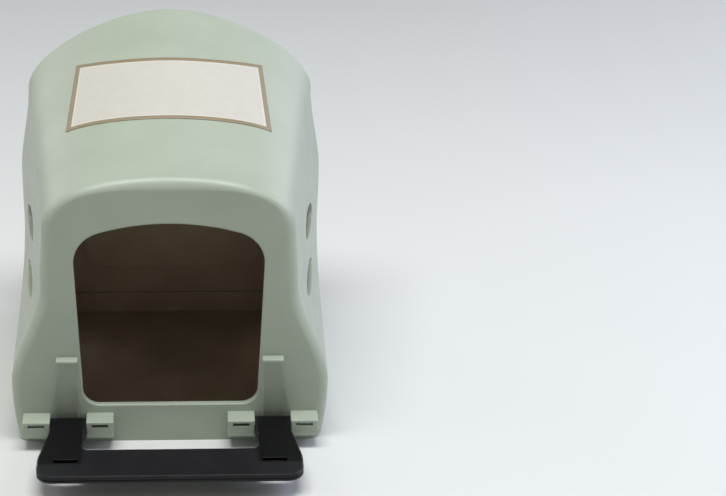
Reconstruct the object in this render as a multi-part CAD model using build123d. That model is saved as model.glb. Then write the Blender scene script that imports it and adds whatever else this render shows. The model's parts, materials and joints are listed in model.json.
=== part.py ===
"""Chicken nesting box: moulded hood, floor tray, back panel and a perch that folds up.

Millimetres, +Z up. The front face looks along -Y and +X is the viewer's right.
The origin is on the floor, under the middle of the body.
"""
import os
from dataclasses import dataclass
from math import atan2, cos, degrees, hypot, radians, sin

from build123d import *


@dataclass(frozen=True)
class Arch:
    """Upper outline of the hood at one end: widths, heights and the two handles of its roof curve."""

    waist: float
    shoulder: float
    shoulder_z: float
    apex_z: float
    lift: float
    spread: float


@dataclass(frozen=True)
class Vent:
    """One oval vent: its middle behind the front face and above the floor, its size and its lean."""

    behind: float
    z: float
    length: float
    height: float
    lean: float


# Hood: overall sizes and the two ends of its upper outline
BODY_DEPTH = 340.0
BASE_WIDTH = 383.0
FOOT_TUCK = 8.0
BASE_Z = 78.0
WAIST_Z = 210.0
FLARE_EASE = 0.33
FRONT = Arch(waist=305.0, shoulder=299.0, shoulder_z=280.0, apex_z=349.0, lift=60.0, spread=55.0)
REAR = Arch(waist=388.0, shoulder=363.0, shoulder_z=325.0, apex_z=433.0, lift=47.0, spread=78.0)
WALL = 3.2
FOOT_RADIUS = 10.0
NOSE_RADIUS = 12.0
NOSE_TURN = 80.0
NOSE_STEPS = 4
INNER_NOSE_STEPS = 1
# Pieces that each curve of the outline is cut into: many on the long twisted walls, which keeps their
# facets few, and one elsewhere
WALL_SPANS = (3, 14, 8, 18)
PLAIN_SPANS = (1, 1, 1, 1)

# Doorway in the front face
SILL_Z = 50.5
DOOR_TOP_Z = 294.5
DOOR_FOOT_WIDTH = 210.0
DOOR_HEAD_WIDTH = 229.0
DOOR_ARCH_RISE = 24.0
DOOR_FOOT_RADIUS = 20.0
DOOR_HEAD_RADIUS = 42.0
COLLAR_DEPTH = 8.0
COLLAR_EDGE = 1.2

# Side vents: ovals cut through each side wall
UPPER_VENT = Vent(behind=176.0, z=212.0, length=100.0, height=38.0, lean=-10.0)
LOWER_VENT = Vent(behind=113.0, z=166.0, length=98.0, height=20.0, lean=0.0)

# Perch hinge and the lugs that carry it
AXIS_AHEAD = 12.5
AXIS_Z = 27.5
PIN_RADIUS = 3.0
PIN_RUNNING = 0.05
PIN_ENTRY = 6.0
LUG_INNER_X = 69.0
LUG_WIDTH = 33.0
LUG_DEPTH = 24.0
LUG_TOP_Z = 40.0
LUG_FOOT_Z = 12.0
LUG_WALL = 3.5
LUG_FLAT = 9.0
LUG_CHIN = 4.0
LUG_CHEEK = 11.0
LUG_EDGE_RADIUS = 1.2
LUG_SLOT_WIDTH = 20.0
LUG_SLOT_HEIGHT = 4.0
ARM_WIDTH = 42.6
ARM_SIDE_GAP = 0.6

# Recess behind each arm, and the catch above it
CHANNEL_DEPTH = 8.0
CHANNEL_SIDE = 0.5
CHANNEL_STEP = 2.0
CHANNEL_SLOPE = 7.0
CHANNEL_NARROW = 13.0
CHANNEL_ABOVE_AXIS = 7.0
CHANNEL_BELOW_CATCH = 4.0
CATCH_WIDTH = 26.0
CATCH_HEIGHT = 4.2
CATCH_REACH = 11.0
CATCH_Z = 115.0
CATCH_EDGE_RADIUS = 1.0

# Perch
PERCH_REACH = 122.5
PERCH_WIDTH = 315.0
PERCH_THICK = 9.0
PERCH_SKIN = 3.0
PERCH_CORNER = 20.0
PERCH_EDGE = 1.6
BAR_DEPTH = 58.0
BAR_TAPER = 22.0
FLARE_SHARE = 0.65
FLARE_RADIUS = 60.0
WINDOW_WIDTH = 212.0
WINDOW_CORNER = 8.0
GROOVE_DEPTH = 1.2
GROOVE_HEIGHT = 1.6
KNUCKLE_RADIUS = 11.0
RIB_THICK = 2.5
RIB_PLACES = (45.0, 90.0)
SLOT_LENGTH = 7.4
SLOT_SIDE_GAP = 1.6
HEEL_TOP = 3.0
HEEL_FOOT = 11.0
HEEL_SIDE = 6.0
STOP_GAP = 0.05

# Floor tray
LIP_WIDTH = 16.0
TRAY_WALL = 2.5
TRAY_RIM_Z = 30.0
TRAY_GAP = 0.8
TRAY_CORNER = 12.0
TRAY_EDGE = 4.5
WELL_CORNER = 6.0

# Back panel, its screws and the wall fixing
PANEL_THICK = 3.0
PANEL_GAP = 0.6
FIELD_WIDTH = 230.0
FIELD_LOW_Z = 70.0
FIELD_HIGH_Z = 300.0
FIELD_SINK = 5.0
FIELD_CORNER = 24.0
WALL_HOLE_RADIUS = 2.75
WALL_HOLE_SPAN_X = 290.0
WALL_HOLE_SPAN_Z = 200.0
WALL_HOLE_MID_Z = 190.0
SCREW_RADIUS = 1.6
SCREW_HEAD_RADIUS = 3.5
SCREW_LENGTH = 16.0
SCREW_ABOVE_TRAY = 6.0
SCREW_HIGH_SHARE = 0.5
BOSS_RADIUS = 5.0
BOSS_LENGTH = 22.0
BOSS_INSET = 12.0

# Roof label, its middle behind the front face
LABEL_GLUE = 0.3
LABEL_THICK = 0.5
LABEL_MIDDLE = 177.5
LABEL_LENGTH = 120.0
LABEL_REAR_WIDTH = 232.0
LABEL_FRONT_WIDTH = 249.0
LABEL_REAR_BOW = 31.0
LABEL_FRONT_BOW = 17.0

# How far a cutter runs past the faces that it opens
PAST = 1.0

FRONT_Y = -BODY_DEPTH / 2
REAR_Y = BODY_DEPTH / 2
FOOT_WIDTH = BASE_WIDTH - 2 * FOOT_TUCK
AXIS_Y = FRONT_Y - AXIS_AHEAD
ARM_INNER_X = LUG_INNER_X + LUG_WIDTH + ARM_SIDE_GAP
ARM_OUTER_X = ARM_INNER_X + ARM_WIDTH
ARM_MID_X = (ARM_INNER_X + ARM_OUTER_X) / 2
LUG_OUTER_X = ARM_OUTER_X + ARM_SIDE_GAP
BAR_FRONT_Y = AXIS_Y - PERCH_REACH
DOOR_SPRING_Z = DOOR_TOP_Z - DOOR_ARCH_RISE


def arch_at(y: float) -> Arch:
    """The hood's upper outline at depth y, a straight mix of its two ends."""
    t = (y - FRONT_Y) / BODY_DEPTH
    names = ("waist", "shoulder", "shoulder_z", "apex_z", "lift", "spread")
    return Arch(*(getattr(FRONT, n) + (getattr(REAR, n) - getattr(FRONT, n)) * t for n in names))


def side_curves(arch: Arch, inset: float, z_low: float) -> list:
    """Handle points (x, z) of the four curves of the right side, from the foot up to the ridge."""
    foot = FOOT_WIDTH / 2 - inset
    base = BASE_WIDTH / 2 - inset
    waist = arch.waist / 2 - inset
    shoulder = arch.shoulder / 2 - inset
    ridge = arch.apex_z - inset
    ease = FLARE_EASE * (WAIST_Z - BASE_Z)
    top = arch.shoulder_z
    rise = (top - WAIST_Z) / 3
    return [
        [(foot, z_low), (base, BASE_Z / 2), (base, BASE_Z)],
        [(base, BASE_Z), (base, BASE_Z + ease), (waist, WAIST_Z - ease), (waist, WAIST_Z)],
        [(waist, WAIST_Z), (waist, WAIST_Z + rise), (shoulder, top - rise), (shoulder, top)],
        [(shoulder, top), (shoulder, top + arch.lift), (arch.spread, ridge), (0.0, ridge)],
    ]


def cut_curve(handles: list, y: float, count: int) -> list:
    """The curve with these handle points at depth y, cut into equal spans."""
    curve = Edge.make_bezier(*[Vector(x, y, z) for x, z in handles])
    if count == 1:
        return [curve]
    return [curve.trim(k / count, (k + 1) / count) for k in range(count)]


def outline(y: float, inset: float, z_low: float, spans: tuple) -> Wire:
    """Closed outline of the hood at depth y, drawn in by inset."""
    curves = list(zip(side_curves(arch_at(y), inset, z_low), spans))
    edges = []
    for handles, count in curves:
        edges += cut_curve(handles, y, count)
    for handles, count in reversed(curves):
        edges += cut_curve([(-x, z) for x, z in reversed(handles)], y, count)
    foot = FOOT_WIDTH / 2 - inset
    edges.append(Edge.make_line((-foot, y, z_low), (foot, y, z_low)))
    face = Face(Wire(edges))
    corners = [v for v in face.vertices() if abs(v.Z - z_low) < 0.001]
    return face.fillet_2d(FOOT_RADIUS - z_low, corners).outer_wire()


def hood_form(inset: float, steps: int) -> Solid:
    """The hood as a full body drawn in by inset, its front edge turned over in a number of steps."""
    radius = NOSE_RADIUS - inset
    turn = radians(NOSE_TURN)
    nose = []
    for k in range(steps + 1):
        angle = turn * k / steps
        y = FRONT_Y + inset + radius * (1 - cos(angle))
        nose.append(outline(y, inset + radius * (sin(turn) - sin(angle)), inset, PLAIN_SPANS))
    y_join = FRONT_Y + inset + radius * (1 - cos(turn))
    ends = [outline(y, inset, inset, WALL_SPANS) for y in (y_join, REAR_Y)]
    return Solid.make_loft(nose, True) + Solid.make_loft(ends, True)


def prism_y(face: Face, y_from: float, y_to: float) -> Solid:
    """A face drawn on X and Z, run from y_from to y_to."""
    placed = Plane(origin=(0, y_from, 0), x_dir=(1, 0, 0), z_dir=(0, -1, 0)) * face
    return extrude(placed, amount=y_to - y_from, dir=(0, 1, 0))


def prism_x(points: list, x_from: float, x_to: float) -> Solid:
    """A polygon of (y, z) points run from x_from to x_to."""
    wire = Wire.make_polygon([Vector(x_from, y, z) for y, z in points], close=True)
    return extrude(Face(wire), amount=x_to - x_from, dir=(1, 0, 0))


def prism_z(face: Face, z_from: float, z_to: float) -> Solid:
    """A face drawn on X and Y, run from z_from to z_to."""
    return extrude(Pos(0, 0, z_from) * face, amount=z_to - z_from, dir=(0, 0, 1))


def block(x0: float, x1: float, y0: float, y1: float, z0: float, z1: float) -> Solid:
    """A box between two corners."""
    return Pos((x0 + x1) / 2, (y0 + y1) / 2, (z0 + z1) / 2) * Box(x1 - x0, y1 - y0, z1 - z0)


def rod_x(radius: float, x0: float, x1: float) -> Solid:
    """A round bar along the hinge axis."""
    return Solid.make_cylinder(radius, x1 - x0, Plane(origin=(x0, AXIS_Y, AXIS_Z), z_dir=(1, 0, 0)))


def rod_y(radius: float, x: float, z: float, y0: float, y1: float) -> Solid:
    """A round bar from front to rear."""
    return Solid.make_cylinder(radius, y1 - y0, Plane(origin=(x, y0, z), z_dir=(0, 1, 0)))


def both_sides(piece) -> list:
    """A piece and its mirror image across X = 0."""
    return [piece, mirror(piece, about=Plane.YZ)]


def door_face(grow: float) -> Face:
    """Doorway outline on X and Z: straight leaning jambs under a low arch, grown outwards."""
    foot = DOOR_FOOT_WIDTH / 2 + grow
    head = DOOR_HEAD_WIDTH / 2 + grow
    low = SILL_Z - grow
    top = DOOR_TOP_Z + grow
    spring = DOOR_SPRING_Z + grow
    edges = [
        Edge.make_line((-foot, low), (foot, low)),
        Edge.make_line((foot, low), (head, spring)),
        Edge.make_three_point_arc((head, spring), (0, top), (-head, spring)),
        Edge.make_line((-head, spring), (-foot, low)),
    ]
    face = Face(Wire(edges))
    feet = face.vertices().sort_by(Axis.Y)[:2]
    face = face.fillet_2d(DOOR_FOOT_RADIUS + grow, feet)
    heads = [v for v in face.vertices() if abs(v.Y - spring) < 0.01]
    return face.fillet_2d(DOOR_HEAD_RADIUS + grow, heads)


def jamb_x(z: float) -> float:
    """Half the doorway's width at height z."""
    share = (z - SILL_Z) / (DOOR_SPRING_Z - SILL_Z)
    return (DOOR_FOOT_WIDTH + (DOOR_HEAD_WIDTH - DOOR_FOOT_WIDTH) * share) / 2


def lug_profile(inset: float) -> list:
    """Side view (y, z) of a hinge lug: flat top, upright nose and a slanted underside."""
    front = FRONT_Y - LUG_DEPTH + inset
    top = LUG_TOP_Z - inset
    low = LUG_FOOT_Z - inset
    root = FRONT_Y + WALL / 2
    return [(root, low), (FRONT_Y - LUG_FLAT + inset, low), (front + LUG_CHIN, low + LUG_CHIN),
            (front, low + LUG_CHEEK), (front, top), (root, top)]


def lug(x0: float) -> Solid:
    """One hinge lug with a rounded nose, before it is hollowed."""
    body = prism_x(lug_profile(0.0), x0, x0 + LUG_WIDTH)
    nose = [e for e in body.edges() if abs(e.center().Y - (FRONT_Y - LUG_DEPTH)) < 0.01]
    rim = [e for e in nose if e.center().Z > LUG_FOOT_Z + LUG_CHEEK + PAST]
    return body.fillet(LUG_EDGE_RADIUS, rim)


def lug_core(x0: float) -> list:
    """The hollow of a lug, open below, and the slot through its nose."""
    top = LUG_TOP_Z - LUG_WALL
    section = lug_profile(LUG_WALL)[1:-1] + [(FRONT_Y, top), (FRONT_Y, LUG_FOOT_Z - LUG_WALL)]
    hollow = prism_x(section, x0 + LUG_WALL, x0 + LUG_WIDTH - LUG_WALL)
    mid = x0 + LUG_WIDTH / 2
    half = LUG_SLOT_WIDTH / 2
    nose = FRONT_Y - LUG_DEPTH
    slot = block(mid - half, mid + half, nose - PAST, nose + LUG_DEPTH / 2, top - LUG_SLOT_HEIGHT, top)
    return [hollow, slot]


def channel(grow: float) -> Solid:
    """Recess behind an arm, its floor sloping back from the catch to the hinge; grown to make its wall."""
    low = AXIS_Z + CHANNEL_ABOVE_AXIS - grow
    top = CATCH_Z - CATCH_HEIGHT / 2 - CHANNEL_BELOW_CATCH + grow
    inner = jamb_x(CATCH_Z) + WALL + CHANNEL_SIDE - grow
    outer = ARM_OUTER_X - CHANNEL_SIDE + grow
    mouth = FRONT_Y + grow
    deep = mouth + CHANNEL_DEPTH
    corners = [(inner, mouth, low), (outer, mouth, low),
               (outer - CHANNEL_NARROW, mouth, top), (inner, mouth, top),
               (inner + CHANNEL_STEP, deep, low), (outer - CHANNEL_SLOPE, deep, low)]
    return ConvexPolyhedron(corners).solid()


def catch() -> Solid:
    """Short shelf that enters the arm's slot when the perch is folded up."""
    half = CATCH_WIDTH / 2
    tip_y = FRONT_Y - CATCH_REACH
    body = block(ARM_MID_X - half, ARM_MID_X + half, tip_y, FRONT_Y + WALL / 2,
                 CATCH_Z - CATCH_HEIGHT / 2, CATCH_Z + CATCH_HEIGHT / 2)
    tip = [e for e in body.edges() if abs(e.center().Y - tip_y) < 0.01]
    return body.fillet(CATCH_EDGE_RADIUS, tip)


def screw_places() -> list:
    """Places (x, z, outward angle) of the back panel's screws, set in from the rear outline."""
    curves = side_curves(REAR, 0.0, 0.0)
    low_share = (TRAY_RIM_Z + SCREW_ABOVE_TRAY) / BASE_Z
    places = []
    for handles, share in ((curves[0], low_share), (curves[-1], SCREW_HIGH_SHARE)):
        curve = cut_curve(handles, REAR_Y, 1)[0]
        point, along = curve @ share, curve % share
        x, z = point.X - along.Z * BOSS_INSET, point.Z + along.X * BOSS_INSET
        angle = degrees(atan2(-along.X, along.Z))
        places += [(x, z, angle), (-x, z, 180.0 - angle)]
    return places


def boss(place: tuple) -> Solid:
    """Screw post in front of the back panel, with a web out to the hood's wall."""
    x, z, angle = place
    y0 = REAR_Y - PANEL_THICK - BOSS_LENGTH
    y1 = REAR_Y - PANEL_THICK
    web = block(0.0, BOSS_INSET, y0, y1, -BOSS_RADIUS / 2, BOSS_RADIUS / 2)
    return rod_y(BOSS_RADIUS, x, z, y0, y1) + Pos(x, 0, z) * Rot(Y=-angle) * web


def vent_cutter(vent: Vent) -> Solid:
    """Oval bar that cuts one vent through both side walls."""
    plane = Plane(origin=(-BASE_WIDTH, FRONT_Y + vent.behind, vent.z), x_dir=(0, 1, 0), z_dir=(1, 0, 0))
    oval = plane * Rot(Z=vent.lean) * Ellipse(vent.length / 2, vent.height / 2)
    return extrude(oval, amount=2 * BASE_WIDTH, dir=(1, 0, 0))


def doored_shell(outer: Solid) -> Solid:
    """The hood's walls with the doorway, its collar and its softened front edge."""
    body = outer - hood_form(WALL, INNER_NOSE_STEPS)
    body += prism_y(door_face(WALL), FRONT_Y + WALL / 2, FRONT_Y + COLLAR_DEPTH)
    body -= prism_y(door_face(0.0), FRONT_Y - PAST, FRONT_Y + COLLAR_DEPTH + PAST)
    front = [e for e in body.edges() if abs(e.center().Y - FRONT_Y) < 0.01]
    door = door_face(0.0).outer_wire()
    edge = [e for e in front if door.distance_to(Vertex(e.center().X, e.center().Z, 0)) < 0.01]
    return body.chamfer(COLLAR_EDGE, None, edge)


def hood() -> Solid:
    """Roof, sides and front in one moulding, with its lugs, catches, channels and screw posts."""
    outer = hood_form(0.0, NOSE_STEPS)
    body = doored_shell(outer)
    added = both_sides(channel(WALL)) + both_sides(catch())
    cuts = both_sides(channel(0.0))
    for x0 in (LUG_INNER_X, LUG_OUTER_X):
        added += both_sides(lug(x0))
        for core in lug_core(x0):
            cuts += both_sides(core)
    cuts += both_sides(rod_x(PIN_RADIUS, LUG_INNER_X - PAST, LUG_OUTER_X + LUG_WALL + PAST))
    for place in screw_places():
        added.append(boss(place) & outer)
        x, z, _ = place
        cuts.append(rod_y(SCREW_RADIUS, x, z, REAR_Y - SCREW_LENGTH, REAR_Y))
    cuts += [vent_cutter(UPPER_VENT), vent_cutter(LOWER_VENT)]
    lip_x = FOOT_WIDTH / 2 - LIP_WIDTH
    cuts.append(block(-lip_x, lip_x, FRONT_Y + LIP_WIDTH, REAR_Y + PAST, -PAST, WALL + PAST))
    for piece in added:
        body += piece
    for piece in cuts:
        body -= piece
    return body


def back_panel() -> Solid:
    """Flat rear closure with a sunk middle field, wall fixing holes and countersunk screw holes."""
    gap = WALL + PANEL_GAP
    inner_y = REAR_Y - PANEL_THICK
    plate = extrude(Face(outline(inner_y, gap, gap, PLAIN_SPANS)), amount=PANEL_THICK, dir=(0, 1, 0))
    middle = Pos(0, (FIELD_LOW_Z + FIELD_HIGH_Z) / 2)
    height = FIELD_HIGH_Z - FIELD_LOW_Z
    trim = 2 * PANEL_THICK
    field = middle * RectangleRounded(FIELD_WIDTH, height, FIELD_CORNER)
    dish = middle * RectangleRounded(FIELD_WIDTH - trim, height - trim, FIELD_CORNER - PANEL_THICK)
    plate += prism_y(field.face(), inner_y - FIELD_SINK, REAR_Y - PANEL_THICK / 2)
    plate -= prism_y(dish.face(), REAR_Y - FIELD_SINK, REAR_Y + PAST)
    for x in (-WALL_HOLE_SPAN_X / 2, WALL_HOLE_SPAN_X / 2):
        for z in (WALL_HOLE_MID_Z - WALL_HOLE_SPAN_Z / 2, WALL_HOLE_MID_Z + WALL_HOLE_SPAN_Z / 2):
            plate -= rod_y(WALL_HOLE_RADIUS, x, z, inner_y - PAST, REAR_Y + PAST)
    for screw in screws():
        plate -= screw
    return plate


def screws() -> list:
    """Countersunk screws that hold the back panel, heads flush with its face."""
    found = []
    sink = SCREW_HEAD_RADIUS - SCREW_RADIUS
    for x, z, _ in screw_places():
        seat = Plane(origin=(x, REAR_Y - sink, z), z_dir=(0, 1, 0))
        head = Solid.make_cone(SCREW_RADIUS, SCREW_HEAD_RADIUS, sink, seat)
        found.append(rod_y(SCREW_RADIUS, x, z, REAR_Y - SCREW_LENGTH, REAR_Y - sink) + head)
    return found


def tray_form(inset: float, z_low: float) -> Solid:
    """Tray body above the hood's lip, as a full block drawn in by inset."""
    half = FOOT_WIDTH / 2 - WALL - 2 * TRAY_GAP - inset
    y0 = FRONT_Y + WALL + 2 * TRAY_GAP + inset
    y1 = REAR_Y - PANEL_THICK - TRAY_GAP - inset
    body = block(-half, half, y0, y1, z_low, TRAY_RIM_Z + inset)
    body = body.fillet(TRAY_CORNER - inset, body.edges().filter_by(Axis.Z))
    return body.chamfer(TRAY_EDGE - inset / 2, None, body.faces().sort_by(Axis.Z)[0].edges())


def well_form(inset: float, z_low: float, z_high: float) -> Solid:
    """Lower part of the tray, which drops between the hood's lips, as a full block drawn in by inset."""
    half = FOOT_WIDTH / 2 - LIP_WIDTH - TRAY_GAP - inset
    y0 = FRONT_Y + LIP_WIDTH + TRAY_GAP + inset
    y1 = REAR_Y - PANEL_THICK - TRAY_GAP - inset
    body = block(-half, half, y0, y1, z_low, z_high)
    return body.fillet(WELL_CORNER - inset, body.edges().filter_by(Axis.Z))


def floor_tray() -> Solid:
    """Floor that drops between the hood's lips, with a rim that holds the bedding in."""
    body = well_form(0.0, 0.0, WALL + TRAY_WALL) + tray_form(0.0, WALL)
    return body - tray_form(TRAY_WALL, WALL + TRAY_WALL) - well_form(TRAY_WALL, TRAY_WALL, TRAY_RIM_Z)


def perch_plan(inset: float) -> Face:
    """Right half of the perch on X and Y: an arm that flares out to a broad bar beside half a window."""
    front = BAR_FRONT_Y + inset
    back = AXIS_Y + KNUCKLE_RADIUS + PAST
    flare_from = AXIS_Y - hypot(LUG_DEPTH, LUG_TOP_Z) / 2
    wide = PERCH_WIDTH / 2 - inset
    window = WINDOW_WIDTH / 2 + inset
    bar = BAR_FRONT_Y + BAR_DEPTH - inset
    outer, inner = ARM_OUTER_X - inset, ARM_INNER_X + inset
    outside = [(outer, back), (outer, flare_from), (wide, AXIS_Y - FLARE_SHARE * PERCH_REACH), (wide, front)]
    inside = [(window, bar), (window, flare_from), (inner, flare_from + window - inner), (inner, back)]
    points = outside + [(0, front), (0, bar)] + inside
    face = Face(Wire.make_polygon([Vector(x, y, 0) for x, y in points], close=True))
    for x, y, radius in ((wide, front, PERCH_CORNER - inset), (window, bar, WINDOW_CORNER + inset),
                         (*outside[2], FLARE_RADIUS)):
        corner = [v for v in face.vertices() if hypot(v.X - x, v.Y - y) < 0.01]
        face = face.fillet_2d(radius, corner)
    return face


def perch_side(top_drop: float, low: float) -> Solid:
    """Side view of the perch: thick at the knuckle, tapering to the bar."""
    front = BAR_FRONT_Y - PAST
    bar = BAR_FRONT_Y + BAR_DEPTH
    top = AXIS_Z + PERCH_THICK / 2 - top_drop
    points = [(AXIS_Y, AXIS_Z + KNUCKLE_RADIUS - top_drop), (bar - BAR_TAPER, top), (front, top),
              (front, AXIS_Z - low), (bar, AXIS_Z - low), (AXIS_Y, AXIS_Z - 2 * low)]
    return prism_x(points, 0.0, PERCH_WIDTH)


def perch_column(inset: float) -> Solid:
    """The perch's plan as an upright column, taller than the perch."""
    return prism_z(perch_plan(inset), AXIS_Z - PERCH_REACH, AXIS_Z + PERCH_REACH)


def perch_groove() -> Solid:
    """Fine groove round the bar and the arms, ahead of the lugs."""
    rim = perch_column(0.0) - perch_column(GROOVE_DEPTH)
    ahead = AXIS_Y - LUG_DEPTH
    return rim & block(0, PERCH_WIDTH, BAR_FRONT_Y - PAST, ahead, AXIS_Z - GROOVE_HEIGHT, AXIS_Z)


def perch_pocket() -> Solid:
    """Hollow under the perch, less its ribs and the frame of the catch slot."""
    pocket = perch_column(PERCH_SKIN) & perch_side(PERCH_SKIN, PERCH_REACH / 3)
    pocket -= block(0, PERCH_WIDTH, AXIS_Y - KNUCKLE_RADIUS - LUG_CHIN, 0, -PERCH_REACH, PERCH_REACH)
    for x in RIB_PLACES:
        x0, x1 = x - RIB_THICK / 2, x + RIB_THICK / 2
        pocket -= block(x0, x1, BAR_FRONT_Y, BAR_FRONT_Y + BAR_DEPTH, 0, PERCH_REACH)
    return pocket - catch_slot(PERCH_SKIN)


def catch_slot(grow: float) -> Solid:
    """Slot that takes the catch when the perch is folded up, grown to make its frame."""
    half = CATCH_WIDTH / 2 + SLOT_SIDE_GAP + grow
    middle = AXIS_Y - (CATCH_Z - AXIS_Z)
    reach = SLOT_LENGTH / 2 + grow
    return block(ARM_MID_X - half, ARM_MID_X + half, middle - reach, middle + reach, 0, PERCH_REACH)


def perch() -> Solid:
    """Fold-up perch: broad bar, tapered arms, hinge knuckles, stop heels and catch slots."""
    body = perch_column(0.0) & perch_side(0.0, PERCH_THICK / 2)
    top = AXIS_Z + PERCH_THICK / 2
    level = [e for e in body.edges() if abs(e.center().Z - top) < 0.01]
    rim = [e for e in level if e.center().Y < BAR_FRONT_Y + PERCH_CORNER and e.center().X > PAST]
    body = body.chamfer(PERCH_EDGE, None, rim)
    body += rod_x(KNUCKLE_RADIUS, ARM_INNER_X, ARM_OUTER_X)
    body -= perch_pocket()
    body += block(ARM_INNER_X + HEEL_SIDE, ARM_OUTER_X - HEEL_SIDE, AXIS_Y, FRONT_Y - STOP_GAP,
                  AXIS_Z - HEEL_FOOT, AXIS_Z - HEEL_TOP)
    body -= catch_slot(0.0)
    body -= rod_x(PIN_RADIUS + PIN_RUNNING, ARM_INNER_X - PAST, ARM_OUTER_X + PAST)
    body -= perch_groove()
    return body + mirror(body, about=Plane.YZ)


def hinge_pin() -> Solid:
    """Plain steel pin through the inner lug, the arm and the outer lug's near wall."""
    return rod_x(PIN_RADIUS, LUG_INNER_X, LUG_OUTER_X + LUG_WALL + PIN_ENTRY)


def roof_label() -> Solid:
    """Thin bare label bent over the roof; its long edges bow back towards the sides."""
    front = FRONT_Y + LABEL_MIDDLE - LABEL_LENGTH / 2
    rear = front + LABEL_LENGTH
    a, b = LABEL_FRONT_WIDTH / 2, LABEL_REAR_WIDTH / 2
    front_end, rear_end = front + LABEL_FRONT_BOW, rear + LABEL_REAR_BOW
    face = Face(Wire([
        Edge.make_three_point_arc((-a, front_end), (0, front), (a, front_end)),
        Edge.make_line((a, front_end), (b, rear_end)),
        Edge.make_three_point_arc((b, rear_end), (0, rear), (-b, rear_end)),
        Edge.make_line((-b, rear_end), (-a, front_end)),
    ]))
    column = prism_z(face, FRONT.shoulder_z, REAR.apex_z + FOOT_RADIUS)
    film = column & hood_form(-LABEL_GLUE - LABEL_THICK, NOSE_STEPS)
    return film - hood_form(-LABEL_GLUE, NOSE_STEPS)


def write(name: str, shape) -> None:
    """Writes one piece, or a group of alike pieces, as a STEP file."""
    export_step(shape, f"parts/{name}.step")


def main() -> None:
    """Builds every piece in place and writes it."""
    os.makedirs("parts", exist_ok=True)
    write("hood", hood())
    write("floor_tray", floor_tray())
    write("back_panel", back_panel())
    write("perch", perch())
    right, left = both_sides(hinge_pin())
    write("hinge_pin_right", right)
    write("hinge_pin_left", left)
    write("back_screws", Compound(screws()))
    write("roof_label", roof_label())


if __name__ == "__main__":
    main()
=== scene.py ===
"""Looks of a chicken nesting box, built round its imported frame.

Sizes are in millimetres, as on the drawing, and turn into metres where a mesh is made.
The front face looks along -Y, +X is the viewer's right and +Z is up.
"""
import json
import logging
from dataclasses import astuple, dataclass, field
from enum import Enum
from math import comb, pi, radians

import bmesh
import bpy
import numpy as np
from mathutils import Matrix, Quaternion, Vector


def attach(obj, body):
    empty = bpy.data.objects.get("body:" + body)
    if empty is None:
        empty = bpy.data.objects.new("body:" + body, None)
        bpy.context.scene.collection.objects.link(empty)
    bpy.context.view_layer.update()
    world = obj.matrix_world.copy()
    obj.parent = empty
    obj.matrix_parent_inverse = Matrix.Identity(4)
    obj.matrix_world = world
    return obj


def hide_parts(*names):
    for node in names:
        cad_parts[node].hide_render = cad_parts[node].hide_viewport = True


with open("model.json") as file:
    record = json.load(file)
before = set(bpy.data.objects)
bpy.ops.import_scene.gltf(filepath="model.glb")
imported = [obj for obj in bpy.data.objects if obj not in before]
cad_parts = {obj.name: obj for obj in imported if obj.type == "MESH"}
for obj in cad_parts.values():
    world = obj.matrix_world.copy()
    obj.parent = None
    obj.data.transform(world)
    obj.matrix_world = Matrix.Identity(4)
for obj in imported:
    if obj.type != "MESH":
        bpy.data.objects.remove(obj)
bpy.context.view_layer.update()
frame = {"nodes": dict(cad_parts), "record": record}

MM = 0.001
# Points closer than this, in millimetres, are one point
WELD = 0.002
# An edge that bends more than this stays sharp
CREASE = radians(40.0)
# Steps round a rolled edge
ROLL_STEPS = 4
# Socket numbers of a Mix node, whose names repeat for each kind of value
MIX_SHARE = 0
COLOUR_A, COLOUR_B, COLOUR_OUT = 6, 7, 2
NUMBER_A, NUMBER_B, NUMBER_OUT = 2, 3, 0
# The body that carries every new piece
BODY = "body"
LOG = logging.getLogger("nesting_box")


class Slot(Enum):
    """The record's material slots."""

    SAGE = "sage_plastic"
    DARK = "dark_plastic"
    BLACK = "black_plastic"
    STEEL = "steel"
    LABEL = "cream_label"


def linear(code: str) -> tuple[float, float, float, float]:
    """Turns an sRGB hex colour into linear red, green, blue and alpha, by the standard's own formula.

    Args:
        code: six hex digits.
    Returns:
        The linear colour, with full alpha.
    """
    srgb = np.array([int(code[k:k + 2], 16) for k in (0, 2, 4)]) / 255
    low, high = srgb / 12.92, ((srgb + 0.055) / 1.055) ** 2.4
    return (*(float(v) for v in np.where(srgb <= 0.04045, low, high)), 1.0)


def add_node(tree: bpy.types.NodeTree, kind: str, settings: dict, inputs: dict) -> bpy.types.Node:
    """Adds one shader node with its settings, values and links.

    Args:
        tree: the node tree that takes it.
        kind: the node's type name.
        settings: properties of the node.
        inputs: input names or numbers, each with a value or with the socket that feeds it.
    Returns:
        The new node.
    """
    node = tree.nodes.new(kind)
    for name, value in settings.items():
        setattr(node, name, value)
    for key, value in inputs.items():
        if isinstance(value, bpy.types.NodeSocket):
            tree.links.new(value, node.inputs[key])
        else:
            node.inputs[key].default_value = value
    return node


def new_material(name: str) -> tuple[bpy.types.Material, bpy.types.NodeTree, bpy.types.Node]:
    """Starts a node material.

    Args:
        name: the material's name.
    Returns:
        The material, its node tree and its shader.
    """
    material = bpy.data.materials.new(name)
    material.use_nodes = True
    tree = material.node_tree
    return material, tree, tree.nodes["Principled BSDF"]


def steps(count: int) -> np.ndarray:
    """Even shares from 0 up to, but not with, 1, as one row."""
    return np.arange(count)[None, :] / count


def bezier(handles: list, t: np.ndarray) -> np.ndarray:
    """Point on a Bezier curve: each handle is weighted by its Bernstein share at t.

    Args:
        handles: the handle values, numbers or columns of them.
        t: shares along the curve.
    Returns:
        The values at t.
    """
    last = len(handles) - 1
    return sum(comb(last, k) * t ** k * (1 - t) ** (last - k) * h for k, h in enumerate(handles))


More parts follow.
